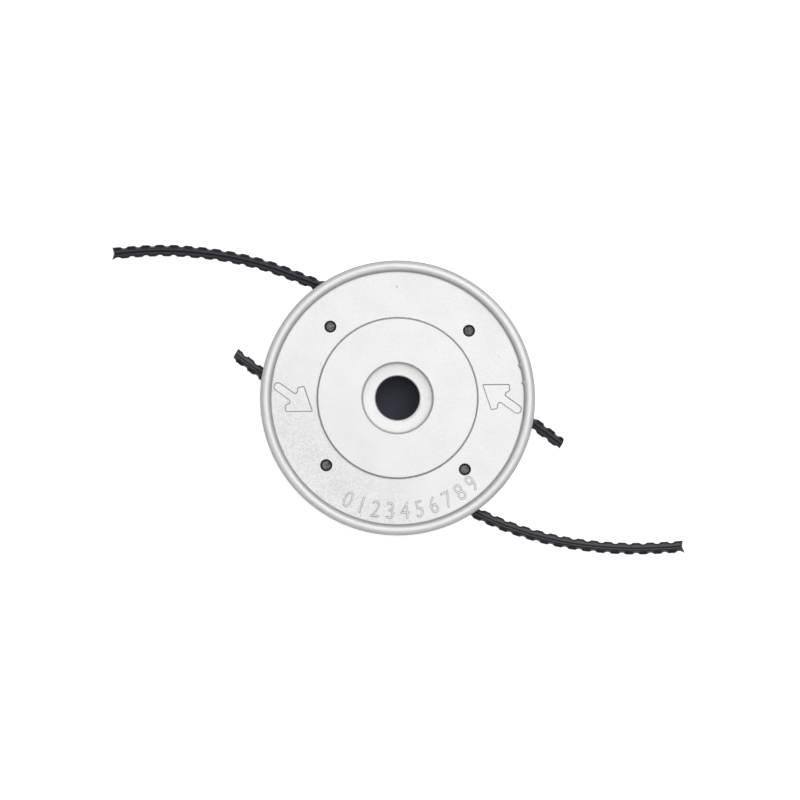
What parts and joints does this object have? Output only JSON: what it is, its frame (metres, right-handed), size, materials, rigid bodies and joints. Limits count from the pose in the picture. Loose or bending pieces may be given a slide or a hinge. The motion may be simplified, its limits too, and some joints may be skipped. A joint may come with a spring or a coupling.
{
  "type": "fixed line trimmer head",
  "caption": "Round die-cast trimmer head with two nylon lines run through toothed channels between its screwed halves.",
  "frame": {"origin": "middle of the round hub face on the gearbox side, on the axis of rotation, which is the lowest face of the head as it rests on a bench", "axes": "+Z along the axis of rotation, from the gearbox side to the ground side with the arrows; +X and +Y point right and up in a straight view onto the ground side"},
  "size_m": [0.2377, 0.1291, 0.026],
  "materials": {
    "cast_aluminium": "silver paint sprayed on a die casting, duller on the steep walls, with a fine orange-peel grain",
    "phosphated_steel": "dull dark grey phosphated steel screws",
    "black_nylon": "satin extruded nylon line with serrated edges"
  },
  "bodies": {
    "root": {"ground_casting": "cast_aluminium", "gearbox_cover": "cast_aluminium", "cover_screw_1": "phosphated_steel", "cover_screw_2": "phosphated_steel", "cover_screw_3": "phosphated_steel", "cover_screw_4": "phosphated_steel", "trimmer_line_left": "black_nylon", "trimmer_line_right": "black_nylon"}
  },
  "joints": []
}
